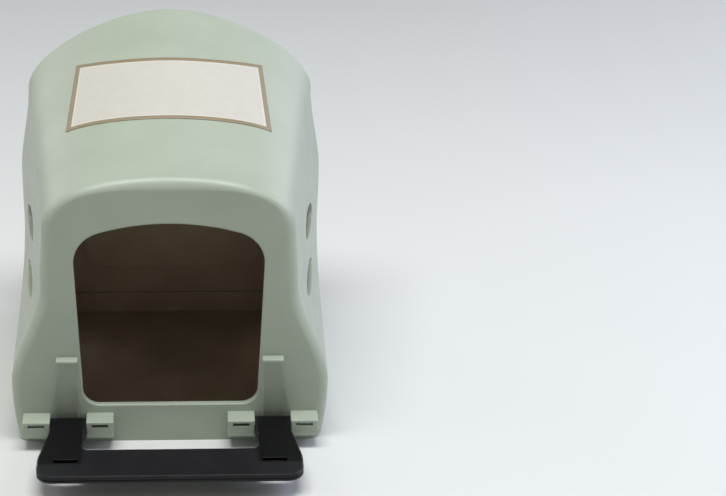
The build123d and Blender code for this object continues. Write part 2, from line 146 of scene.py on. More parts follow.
def grid_faces(rows: int, cols: int, loop_rows: bool, loop_cols: bool) -> np.ndarray:
    """Quads between neighbouring rows and columns of a grid of points.

    Args:
        rows: rows of points.
        cols: points in a row.
        loop_rows: whether the last row meets the first.
        loop_cols: whether a row's last point meets its first.
    Returns:
        Point numbers, shaped (rows, columns, 4).
    """
    k = np.arange(rows if loop_rows else rows - 1)[:, None]
    i = np.arange(cols if loop_cols else cols - 1)[None, :]
    k2, i2 = (k + 1) % rows, (i + 1) % cols
    corners = (k * cols + i, k * cols + i2, k2 * cols + i2, k2 * cols + i)
    return np.stack(np.broadcast_arrays(*corners), -1)


def strip_faces(out: np.ndarray, back: np.ndarray) -> list:
    """Quads between two rows of point numbers, pair by pair."""
    return np.stack([out[:-1], out[1:], back[1:], back[:-1]], -1).tolist()


def inset_polygon(points: np.ndarray, inset: float) -> tuple[np.ndarray, np.ndarray]:
    """Draws a convex polygon in: each corner slides along the lines of its two moved edges.

    Args:
        points: corners in anticlockwise order, shaped (n, 2).
        inset: how far each edge moves in.
    Returns:
        The new corners, and the outward angle of the edge that leaves each corner.
    """
    along = np.roll(points, -1, 0) - points
    along /= np.linalg.norm(along, axis=1, keepdims=True)
    out = np.stack([along[:, 1], -along[:, 0]], 1)
    before = np.roll(out, 1, 0)
    lean = 1 + np.sum(out * before, 1, keepdims=True)
    return points - inset * (out + before) / lean, np.arctan2(out[:, 1], out[:, 0])


def rounded_prism(profile: list, low: float, high: float, radius: float) -> tuple[np.ndarray, list]:
    """A convex profile run along an axis, with every edge rolled over by one radius.

    The surface is the drawn-in profile plus a ball's outward normal: cos(b) of it lies in the
    profile's plane and sin(b) along the axis.

    Args:
        profile: corners (u, v) in anticlockwise order.
        low: where the prism starts on the axis.
        high: where it ends.
        radius: the radius of its edges.
    Returns:
        Points as (axis, u, v), and faces.
    """
    core, angle = inset_polygon(np.array(profile, float), radius)
    first = np.roll(angle, 1)
    turn = (angle - first) % (2 * pi)
    swing = first[:, None] + turn[:, None] * np.linspace(0, 1, ROLL_STEPS + 1)
    out = np.stack([np.cos(swing), np.sin(swing)], -1).reshape(-1, 2)
    ring = np.repeat(core, ROLL_STEPS + 1, 0)
    tilt = np.linspace(0, pi / 2, ROLL_STEPS + 1)
    tilt = np.concatenate([-tilt[::-1], tilt])
    middle = np.where(np.arange(len(tilt)) <= ROLL_STEPS, low + radius, high - radius)
    plane = ring[None] + radius * np.cos(tilt)[:, None, None] * out[None]
    axis = np.broadcast_to((middle + radius * np.sin(tilt))[:, None, None], (*plane.shape[:2], 1))
    points = np.concatenate([axis, plane], -1)
    rows, cols = points.shape[:2]
    faces = grid_faces(rows, cols, False, True).reshape(-1, 4).tolist()
    caps = [list(range(cols))[::-1], list(range((rows - 1) * cols, rows * cols))]
    return points.reshape(-1, 3), faces + caps


def joined(parts: list) -> tuple[np.ndarray, list]:
    """Several sets of points and faces as one.

    Args:
        parts: pairs of points and faces.
    Returns:
        All points, and all faces with their numbers moved on.
    """
    points, faces, count = [], [], 0
    for some, around in parts:
        points.append(some)
        faces += [[n + count for n in face] for face in around]
        count += len(some)
    return np.concatenate(points), faces


def mirrored(points: np.ndarray) -> np.ndarray:
    """The same points on the other side of the plane X = 0."""
    return points * np.array([-1.0, 1.0, 1.0])


def smooth(mesh: bpy.types.Mesh) -> None:
    """Smooths a mesh, apart from the edges that bend more than the crease angle."""
    mesh.shade_smooth()
    mesh.set_sharp_from_angle(angle=CREASE)


def new_mesh(name: str, points: np.ndarray, faces: list) -> bpy.types.Object:
    """Makes an object of points in millimetres, its doubles merged and its faces turned outwards.

    Args:
        name: the object's name.
        points: shaped (n, 3).
        faces: lists of point numbers.
    Returns:
        The object, at the origin.
    """
    mesh = bpy.data.meshes.new(name)
    mesh.from_pydata((points * MM).tolist(), [], faces)
    work = bmesh.new()
    work.from_mesh(mesh)
    bmesh.ops.remove_doubles(work, verts=work.verts, dist=WELD * MM)
    bmesh.ops.recalc_face_normals(work, faces=work.faces)
    work.to_mesh(mesh)
    work.free()
    smooth(mesh)
    piece = bpy.data.objects.new(name, mesh)
    bpy.context.scene.collection.objects.link(piece)
    return piece


def carve(piece: bpy.types.Object, cutter: bpy.types.Object) -> None:
    """Cuts one closed piece out of another and drops the cutter.

    Args:
        piece: what is cut.
        cutter: what it is cut by.
    """
    cut = piece.modifiers.new("cut", "BOOLEAN")
    cut.operation = "DIFFERENCE"
    cut.solver = "EXACT"
    cut.object = cutter
    held = piece.evaluated_get(bpy.context.evaluated_depsgraph_get())
    mesh = bpy.data.meshes.new_from_object(held)
    piece.modifiers.clear()
    piece.data = mesh
    mesh.name = piece.name
    smooth(mesh)
    bpy.data.objects.remove(cutter)


def dress(piece: bpy.types.Object, material: bpy.types.Material) -> None:
    """Gives a piece one material in place of any that it has."""
    piece.data.materials.clear()
    piece.data.materials.append(material)


def settle(piece: bpy.types.Object, material: bpy.types.Material) -> None:
    """Dresses a new piece and sets it on the body.

    Args:
        piece: the new piece.
        material: its finish.
    """
    dress(piece, material)
    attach(piece, BODY)
    LOG.info("%s: %d faces", piece.name, len(piece.data.polygons))


@dataclass(frozen=True)
class MouldedPlastic:
    """Polypropylene from a steel mould: satin, with a fine spark-eroded grain and cloudy colour.

    The eye sees a broad soft highlight, slight clouds where the melt flowed, and a painted highlight: paler
    colour on rounded edges.
    """

    name: str
    colour: str
    cloud: str
    painted_edge_highlight: str
    roughness: float
    rough_spread: float = 0.06
    ior: float = 1.49
    cloud_mm: float = 70.0
    cloud_span: tuple = (0.3, 0.7)
    patch_mm: float = 17.5
    patch_span: tuple = (0.25, 0.75)
    # A real mould's grain is about 0.2 mm wide, too fine to show, so it is drawn coarser
    grain_mm: float = 1.6
    grain_depth_mm: float = 0.03
    edge_mm: float = 0.9
    # Painted edge highlight: how far the rounded normal turns from the true one, and the paler colour's
    # largest share
    edge_span: tuple = (0.995, 0.8)
    edge_highlight_share: float = 0.35
    edge_samples: int = 6

    def surface_colour(self, tree: bpy.types.NodeTree, place: bpy.types.NodeSocket,
                       rounded: bpy.types.NodeSocket) -> bpy.types.NodeSocket:
        """Cloudy colour with a painted edge highlight: paler where the rounded normal leaves the true one.

        Args:
            tree: the node tree.
            place: the object's own coordinates.
            rounded: the normal with its edges rounded.
        Returns:
            The colour.
        """
        clouds = add_node(tree, "ShaderNodeTexNoise", {}, {
            "Vector": place, "Scale": 1 / (self.cloud_mm * MM), "Detail": 3.0})
        share = add_node(tree, "ShaderNodeMapRange", {}, {
            "Value": clouds.outputs["Fac"], "From Min": self.cloud_span[0], "From Max": self.cloud_span[1]})
        body = add_node(tree, "ShaderNodeMix", {"data_type": "RGBA"}, {
            MIX_SHARE: share.outputs["Result"], COLOUR_A: linear(self.cloud), COLOUR_B: linear(self.colour)})
        true = add_node(tree, "ShaderNodeNewGeometry", {}, {})
        same = add_node(tree, "ShaderNodeVectorMath", {"operation": "DOT_PRODUCT"}, {
            0: rounded, 1: true.outputs["Normal"]})
        # Painted highlight: where the rounded normal leaves the true one, the colour is mixed towards the
        # paler edge colour
        edge = add_node(tree, "ShaderNodeMapRange", {}, {
            "Value": same.outputs["Value"], "From Min": self.edge_span[0], "From Max": self.edge_span[1],
            "To Max": self.edge_highlight_share})
        painted_edge_highlight = add_node(tree, "ShaderNodeMix", {"data_type": "RGBA"}, {
            MIX_SHARE: edge.outputs["Result"], COLOUR_A: body.outputs[COLOUR_OUT],
            COLOUR_B: linear(self.painted_edge_highlight)})
        return painted_edge_highlight.outputs[COLOUR_OUT]

    def material(self) -> bpy.types.Material:
        """Builds the finish.

        Returns:
            The material.
        """
        material, tree, shader = new_material(self.name)
        place = add_node(tree, "ShaderNodeTexCoord", {}, {}).outputs["Object"]
        rounded = add_node(tree, "ShaderNodeBevel", {"samples": self.edge_samples}, {
            "Radius": self.edge_mm * MM}).outputs["Normal"]
        tree.links.new(self.surface_colour(tree, place, rounded), shader.inputs["Base Color"])
        patches = add_node(tree, "ShaderNodeTexNoise", {}, {
            "Vector": place, "Scale": 1 / (self.patch_mm * MM), "Detail": 4.0})
        rough = add_node(tree, "ShaderNodeMapRange", {}, {
            "Value": patches.outputs["Fac"], "From Min": self.patch_span[0], "From Max": self.patch_span[1],
            "To Min": self.roughness - self.rough_spread, "To Max": self.roughness + self.rough_spread})
        tree.links.new(rough.outputs["Result"], shader.inputs["Roughness"])
        grain = add_node(tree, "ShaderNodeTexNoise", {}, {
            "Vector": place, "Scale": 1 / (self.grain_mm * MM), "Detail": 2.0})
        bump = add_node(tree, "ShaderNodeBump", {}, {
            "Height": grain.outputs["Fac"], "Distance": self.grain_depth_mm * MM, "Normal": rounded})
        tree.links.new(bump.outputs["Normal"], shader.inputs["Normal"])
        shader.inputs["IOR"].default_value = self.ior
        return material


@dataclass(frozen=True)
class PerchPlastic:
    """The perch's moulding: a grained bar to stand on, and smoother arms whose darker colour is painted
    shade.
    """

    grained: MouldedPlastic
    # The arms' darker colour is painted shade; their lower roughness is their own finish
    arm_painted_shade: str = "0D0D0E"
    arm_roughness: float = 0.24
    specular: float = 0.2
    arm_inner_mm: float = 107.0
    bar_back_mm: float = -273.7
    blend_mm: float = 5.0

    def material(self) -> bpy.types.Material:
        """Builds the finish: one mask over the bar mixes the two roughnesses, and the grained colour with
        the arms' painted shade.

        The mask is 1 between the arms' inner faces, and also in front of the bar's rear edge.

        Returns:
            The material.
        """
        material = self.grained.material()
        tree = material.node_tree
        shader = tree.nodes["Principled BSDF"]
        place = add_node(tree, "ShaderNodeTexCoord", {}, {}).outputs["Object"]
        apart = add_node(tree, "ShaderNodeSeparateXYZ", {}, {"Vector": place})
        across = add_node(tree, "ShaderNodeMath", {"operation": "ABSOLUTE"}, {0: apart.outputs["X"]})
        limits = ((across.outputs["Value"], self.arm_inner_mm), (apart.outputs["Y"], self.bar_back_mm))
        within = []
        for value, limit in limits:
            within.append(add_node(tree, "ShaderNodeMapRange", {}, {
                "Value": value, "From Min": limit * MM,
                "From Max": (limit - self.blend_mm) * MM}).outputs["Result"])
        bar = add_node(tree, "ShaderNodeMath", {"operation": "MAXIMUM"}, {0: within[0], 1: within[1]})
        shader.inputs["Specular IOR Level"].default_value = self.specular
        colours = ("RGBA", COLOUR_A, COLOUR_B, COLOUR_OUT)
        numbers = ("FLOAT", NUMBER_A, NUMBER_B, NUMBER_OUT)
        # Off the bar, the colour turns to the arms' painted shade and the roughness to theirs
        for socket, value, sockets in (("Base Color", linear(self.arm_painted_shade), colours),
                                       ("Roughness", self.arm_roughness, numbers)):
            kind, first, second, result = sockets
            grained = shader.inputs[socket].links[0].from_socket
            mix = add_node(tree, "ShaderNodeMix", {"data_type": kind}, {
                MIX_SHARE: bar.outputs["Value"], first: value, second: grained})
            tree.links.new(mix.outputs[result], shader.inputs[socket])
        return material


@dataclass(frozen=True)
class DrawnSteel:
    """Bright drawn steel wire and turned heads: fine scratches along the wire, a cool grey mirror."""

    name: str
    colour: str = "B4B5B8"
    dull: str = "8A8B8F"
    roughness: tuple = (0.2, 0.38)
    # Real drawing lines are under 0.1 mm wide, too fine to show, so they are drawn coarser
    scratch_mm: float = 0.6
    scratch_stretch: float = 20.0

    def material(self) -> bpy.types.Material:
        """Builds the finish.

        Returns:
            The material.
        """
        material, tree, shader = new_material(self.name)
        place = add_node(tree, "ShaderNodeTexCoord", {}, {}).outputs["Object"]
        drawn = add_node(tree, "ShaderNodeMapping", {}, {
            "Vector": place, "Scale": (1 / self.scratch_stretch, 1.0, 1.0)})
        lines = add_node(tree, "ShaderNodeTexNoise", {}, {
            "Vector": drawn.outputs["Vector"], "Scale": 1 / (self.scratch_mm * MM), "Detail": 3.0})
        body = add_node(tree, "ShaderNodeMix", {"data_type": "RGBA"}, {
            MIX_SHARE: lines.outputs["Fac"], COLOUR_A: linear(self.dull), COLOUR_B: linear(self.colour)})
        tree.links.new(body.outputs[COLOUR_OUT], shader.inputs["Base Color"])
        rough = add_node(tree, "ShaderNodeMapRange", {}, {
            "Value": lines.outputs["Fac"], "To Min": self.roughness[0], "To Max": self.roughness[1]})
        tree.links.new(rough.outputs["Result"], shader.inputs["Roughness"])
        shader.inputs["Metallic"].default_value = 1.0
        return material


@dataclass(frozen=True)
class LabelFilm:
    """Coated paper label: bare cream field inside a plain tan edge, faintly mottled, with a soft sheen."""

    name: str
    field_colour: str = "BDBBB1"
    mottle: str = "B3B1A6"
    edge_colour: str = "847960"
    line_colour: str = "C5C3B8"
    edge_mm: float = 6.0
    line_mm: float = 1.6
    soft_mm: float = 0.5
    mottle_mm: float = 9.0
    roughness: float = 0.38
    rough_spread: float = 0.06
    ior: float = 1.48

    def material(self, width: float, length: float) -> bpy.types.Material:
        """Builds the finish from the label's own UV map.

        Args:
            width: the label's width in millimetres.
            length: its length from front to rear.
        Returns:
            The material.
        """
        material, tree, shader = new_material(self.name)
        coords = add_node(tree, "ShaderNodeTexCoord", {}, {})
        apart = add_node(tree, "ShaderNodeSeparateXYZ", {}, {"Vector": coords.outputs["UV"]})
        # Ping-pong over one half gives the share from the nearer edge
        near = []
        for axis, size in (("X", width), ("Y", length)):
            off = add_node(tree, "ShaderNodeMath", {"operation": "PINGPONG"}, {
                0: apart.outputs[axis], 1: 0.5})
            near.append(add_node(tree, "ShaderNodeMath", {"operation": "MULTIPLY"}, {
                0: off.outputs["Value"], 1: size}).outputs["Value"])
        inside = add_node(tree, "ShaderNodeMath", {"operation": "MINIMUM"}, {0: near[0], 1: near[1]})
        clouds = add_node(tree, "ShaderNodeTexNoise", {}, {
            "Vector": coords.outputs["Object"], "Scale": 1 / (self.mottle_mm * MM), "Detail": 4.0})
        film = add_node(tree, "ShaderNodeMix", {"data_type": "RGBA"}, {
            MIX_SHARE: clouds.outputs["Fac"], COLOUR_A: linear(self.mottle),
            COLOUR_B: linear(self.field_colour)})
        colour = film.outputs[COLOUR_OUT]
        rings = ((self.edge_mm + self.line_mm, self.line_colour), (self.edge_mm, self.edge_colour))
        for limit, code in rings:
            ring = add_node(tree, "ShaderNodeMapRange", {}, {
                "Value": inside.outputs["Value"], "From Min": limit + self.soft_mm,
                "From Max": limit - self.soft_mm})
            colour = add_node(tree, "ShaderNodeMix", {"data_type": "RGBA"}, {
                MIX_SHARE: ring.outputs["Result"], COLOUR_A: colour,
                COLOUR_B: linear(code)}).outputs[COLOUR_OUT]
        tree.links.new(colour, shader.inputs["Base Color"])
        rough = add_node(tree, "ShaderNodeMapRange", {}, {
            "Value": clouds.outputs["Fac"], "To Min": self.roughness - self.rough_spread,
            "To Max": self.roughness + self.rough_spread})
        tree.links.new(rough.outputs["Result"], shader.inputs["Roughness"])
        shader.inputs["IOR"].default_value = self.ior
        return material


# Each plastic's third colour is its painted edge highlight, mixed in on rounded edges
SAGE = MouldedPlastic("moulded_sage_polypropylene", "9EA797", "98A191", "B9C3B2", roughness=0.4)
UMBER = MouldedPlastic("moulded_umber_polypropylene", "B49C82", "A58D75", "C0AA92", roughness=0.5)
BLACK = PerchPlastic(MouldedPlastic("moulded_black_polypropylene", "1F1F21", "1A1A1C", "303032",
                                    roughness=0.4, edge_mm=1.4))
STEEL = DrawnSteel("drawn_bright_steel")
LABEL = LabelFilm("coated_paper_label")


@dataclass(frozen=True)
class Arch:
    """Upper outline of the hood at one end: widths, heights and the two handles of its roof curve."""

    waist: float
    shoulder: float
    shoulder_z: float
    apex_z: float
    lift: float
    spread: float


@dataclass(frozen=True)
class Vent:
    """One oval vent: its middle behind the front face and above the floor, its size and its lean."""

    behind: float
    z: float
    length: float
    height: float
    lean: float


@dataclass(frozen=True)
class HoodForm:
    """The hood's surfaces as formulas, in the drawing's sizes."""

    # Outline
    depth: float = 340.0
    base_width: float = 383.0
    foot_tuck: float = 8.0
    base_z: float = 78.0
    waist_z: float = 210.0
    flare_ease: float = 0.33
    # The front's upper corners are a little squarer than the solid's, as in the photograph
    front: Arch = Arch(waist=305.0, shoulder=299.0, shoulder_z=280.0, apex_z=349.0, lift=65.0, spread=60.0)
    rear: Arch = Arch(waist=388.0, shoulder=363.0, shoulder_z=325.0, apex_z=433.0, lift=47.0, spread=78.0)
    wall: float = 3.2
    foot_radius: float = 10.0
    nose_radius: float = 12.0
    nose_turn: float = radians(80.0)
    lip_width: float = 16.0
    lip_least: float = 1.0
    # Doorway
    sill_z: float = 50.5
    door_top_z: float = 294.5
    door_foot_width: float = 210.0
    door_head_width: float = 229.0
    door_arch_rise: float = 24.0
    door_foot_radius: float = 20.0
    door_head_radius: float = 42.0
    door_eye_z: float = 173.0
    # Channels behind the perch's arms
    channel_depth: float = 4.5
    channel_bend: float = 1.5
    channel_foot_z: float = 8.0
    channel_inner: float = 111.5
    channel_outer: float = 144.7
    channel_step: float = 2.0
    channel_slope: float = 7.0
    channel_narrow: float = 13.0
    channel_low_z: float = 34.5
    channel_top_z: float = 108.9
    channel_crease: float = 9.0
    channel_limit: float = 3.0
    # Points along each stretch of half an outline
    flat_steps: int = 40
    lip_steps: int = 4
    foot_steps: int = 6
    side_steps: int = 24
    flare_steps: int = 36
    waist_steps: int = 16
    roof_steps: int = 48
    # Fineness of the doorway's curves, of the side's table and of the roof's search
    door_points: int = 80
    table_steps: int = 2000
    halvings: int = 40

    @property
    def front_y(self) -> float:
        """Y of the front face."""
        return -self.depth / 2

    @property
    def rear_y(self) -> float:
        """Y of the rear rim."""
        return self.depth / 2

    @property
    def lip_x(self) -> float:
        """Half the width of the hole in the hood's floor."""
        return self.base_width / 2 - self.foot_tuck - self.lip_width

    def arch_at(self, y: np.ndarray) -> Arch:
        """The upper outline at depth y, a straight mix of its two ends."""
        share = (y - self.front_y) / self.depth
        return Arch(*(a + (b - a) * share for a, b in zip(astuple(self.front), astuple(self.rear))))

    def half_outline(self, y: np.ndarray, inset: np.ndarray,
                     z_low: np.ndarray) -> tuple[np.ndarray, np.ndarray]:
        """Right half of the outline, from the middle of the foot up to the ridge.

        A flat foot, a round corner, and then four Bezier curves: side, flare, waist and roof.

        Args:
            y: depths, one a row.
            inset: how far each row is drawn in.
            z_low: height of each row's flat foot.
        Returns:
            X and Z, shaped (rows, points).
        """
        arch = self.arch_at(y)
        foot = self.base_width / 2 - self.foot_tuck - inset
        base = self.base_width / 2 - inset
        waist, shoulder = arch.waist / 2 - inset, arch.shoulder / 2 - inset
        ridge, top = arch.apex_z - inset, arch.shoulder_z
        ease = self.flare_ease * (self.waist_z - self.base_z)
        half_base = self.base_z / 2
        lean = np.arctan2(base - foot, half_base - z_low)
        radius = self.foot_radius - z_low
        tangent = radius / np.tan(pi / 4 + lean / 2)
        corner = foot - tangent
        lip = np.minimum(self.lip_x, corner - self.lip_least)
        turn = -pi / 2 + (pi / 2 - lean) * steps(self.foot_steps)
        begin = tangent / 2 / np.hypot(base - foot, half_base - z_low)
        side = begin + (1 - begin) * steps(self.side_steps)
        flare, upper, roof = steps(self.flare_steps), steps(self.waist_steps), steps(self.roof_steps)
        xs = [lip * steps(self.flat_steps), lip + (corner - lip) * steps(self.lip_steps),
              corner + radius * np.cos(turn), bezier([foot, base, base], side),
              bezier([base, base, waist, waist], flare), bezier([waist, waist, shoulder, shoulder], upper),
              bezier([shoulder, shoulder, arch.spread, 0.0], roof), 0.0 * ridge]
        low = z_low + 0.0 * steps(self.flat_steps + self.lip_steps)
        rise = self.base_z + 0.0 * y
        brim = self.waist_z + 0.0 * y
        zs = [low, z_low + radius * (1 + np.sin(turn)), bezier([z_low, half_base, rise], side),
              bezier([rise, rise + ease, brim - ease, brim], flare), bezier([brim, top], upper),
              bezier([top, top + arch.lift, ridge, ridge], roof), ridge]
        return np.concatenate(xs, 1), np.concatenate(zs, 1)

    def outline(self, y: np.ndarray, inset: np.ndarray, z_low: np.ndarray) -> np.ndarray:
        """Whole outlines, anticlockwise from the middle of the foot.

        Args:
            y: depths, one a row.
            inset: how far each row is drawn in.
            z_low: height of each row's flat foot.
        Returns:
            Points shaped (rows, points, 3).
        """
        y, inset, z_low = (np.asarray(v, float)[:, None] for v in (y, inset, z_low))
        x, z = self.half_outline(y, inset, z_low)
        x = np.concatenate([x, -x[:, -2:0:-1]], 1)
        z = np.concatenate([z, z[:, -2:0:-1]], 1)
        return np.stack([x, np.broadcast_to(y, x.shape), z], -1)

    def side_x(self, y: np.ndarray, z: np.ndarray) -> np.ndarray:
        """Half the hood's width on its flare and waist, where Z gives the share along the curve.

        Args:
            y: depths.
            z: heights between the base and the shoulder.
        Returns:
            X of the right wall's outer face.
        """
        arch = self.arch_at(y)
        base, waist, shoulder = self.base_width / 2, arch.waist / 2, arch.shoulder / 2
        ease = self.flare_ease * (self.waist_z - self.base_z)
        table = np.linspace(0, 1, self.table_steps + 1)
        heights = bezier([self.base_z, self.base_z + ease, self.waist_z - ease, self.waist_z], table)
        flare = bezier([base, base, waist, waist], np.interp(z, heights, table))
        climb = (z - self.waist_z) / (arch.shoulder_z - self.waist_z)
        upper = bezier([waist, waist, shoulder, shoulder], climb)
        return np.where(z < self.waist_z, flare, upper)

    def roof_z(self, x: np.ndarray, y: np.ndarray) -> np.ndarray:
        """Height of the roof, its share along the curve found by halving.

        Args:
            x: places across.
            y: depths.
        Returns:
            Z of the roof's outer face.
        """
        arch = self.arch_at(y)
        half = arch.shoulder / 2
        low, high = np.zeros_like(x), np.ones_like(x)
        for _ in range(self.halvings):
            mid = (low + high) / 2
            beyond = bezier([half, half, arch.spread, 0.0], mid) > np.abs(x)
            low, high = np.where(beyond, mid, low), np.where(beyond, high, mid)
        return bezier([arch.shoulder_z, arch.shoulder_z + arch.lift, arch.apex_z, arch.apex_z], low)

    def door_arcs(self, grow: float) -> list:
        """The doorway's three arcs on the right: foot, head and low crown.

        The head's eye lies on a line beside the leaning jamb, where its circle touches the crown's inside.

        Args:
            grow: how far the outline is drawn out.
        Returns:
            Eye, radius, first angle and last angle of each arc.
        """
        foot, head = self.door_foot_width / 2 + grow, self.door_head_width / 2 + grow
        low, top = self.sill_z - grow, self.door_top_z + grow
        spring = top - self.door_arch_rise
        foot_r, head_r = self.door_foot_radius + grow, self.door_head_radius + grow
        bend = (head ** 2 + self.door_arch_rise ** 2) / (2 * self.door_arch_rise)
        crown = np.array([0.0, top - bend])
        lean = np.arctan2(head - foot, spring - low)
        jamb = np.array([np.sin(lean), np.cos(lean)])
        out = np.array([np.cos(lean), -np.sin(lean)])
        foot_eye = np.array([foot - foot_r / np.tan(pi / 4 + lean / 2), low + foot_r])
        start = np.array([foot, low]) - head_r * out - crown
        along = -start @ jamb + np.sqrt((start @ jamb) ** 2 - start @ start + (bend - head_r) ** 2)
        from_crown = start + along * jamb
        meet = np.arctan2(from_crown[1], from_crown[0])
        return [(foot_eye, foot_r, -pi / 2, -lean), (crown + from_crown, head_r, -lean, meet),
                (crown, bend, meet, pi / 2)]

    def door_half(self, grow: float) -> tuple[np.ndarray, np.ndarray]:
        """Right half of the doorway: sill, foot arc, leaning jamb, head arc and crown arc.

        Args:
            grow: how far the outline is drawn out.
        Returns:
            X and Z, from the middle of the sill to the crown.
        """
        share = np.linspace(0, 1, self.door_points)
        arcs = []
        for eye, radius, begin, end in self.door_arcs(grow):
            swing = begin + (end - begin) * share
            arcs.append(eye + radius * np.stack([np.cos(swing), np.sin(swing)], -1))
        foot, head, crown = arcs
        middle = np.array([0.0, self.sill_z - grow])
        sill = middle + share[:, None] * (foot[0] - middle)
        jamb = foot[-1] + share[:, None] * (head[0] - foot[-1])
        path = np.concatenate([sill, foot, jamb, head, crown])
        return path[:, 0], path[:, 1]

    def door(self, rays: np.ndarray, y: float, grow: float) -> np.ndarray:
        """The doorway's outline where rays from its eye meet it.

        Args:
            rays: X and Z of each ray from the eye, shaped (n, 2).
            y: depth of the outline.
            grow: how far the outline is drawn out.
        Returns:
            Points shaped (n, 3).
        """
        x, z = self.door_half(grow)
        angle = np.arctan2(z - self.door_eye_z, x)
        wanted = np.arctan2(rays[:, 1], np.abs(rays[:, 0]))
        across = np.interp(wanted, angle, x) * np.sign(rays[:, 0])
        return np.stack([across, np.full(len(rays), y), np.interp(wanted, angle, z)], -1)

    def channel(self, x: np.ndarray, z: np.ndarray, grow: float) -> np.ndarray:
        """Depth of the recess behind each arm, with soft creases.

        Each side of the recess is a ramp from 0 at its mouth to 1 at its deep edge. The depth follows the
        least ramp: the log of summed exponentials rounds the creases between them. A ramp past the limit
        on either side counts as the limit.

        Args:
            x: places across.
            z: heights.
            grow: how far the recess is drawn out, for the far side of its wall.
        Returns:
            How far the face lies behind the plain wall.
        """
        low, top = self.channel_low_z, self.channel_top_z + grow
        fall = (top - z) / (top - low)
        floor = np.where(fall > 0, np.clip(fall, 0, 1) ** self.channel_bend, fall)
        outer = self.channel_outer + grow - self.channel_narrow * np.clip(1 - fall, 0, 1)
        across = np.abs(x)
        foot = z - self.channel_foot_z + grow
        ramps = np.stack([floor, (across - self.channel_inner + grow) / self.channel_step,
                          (outer - across) / self.channel_slope, foot / self.channel_step])
        crease = self.channel_crease
        total = np.exp(-crease * np.clip(ramps, -self.channel_limit, self.channel_limit)).sum(0)
        return self.channel_depth * np.log1p(1 / total) / crease


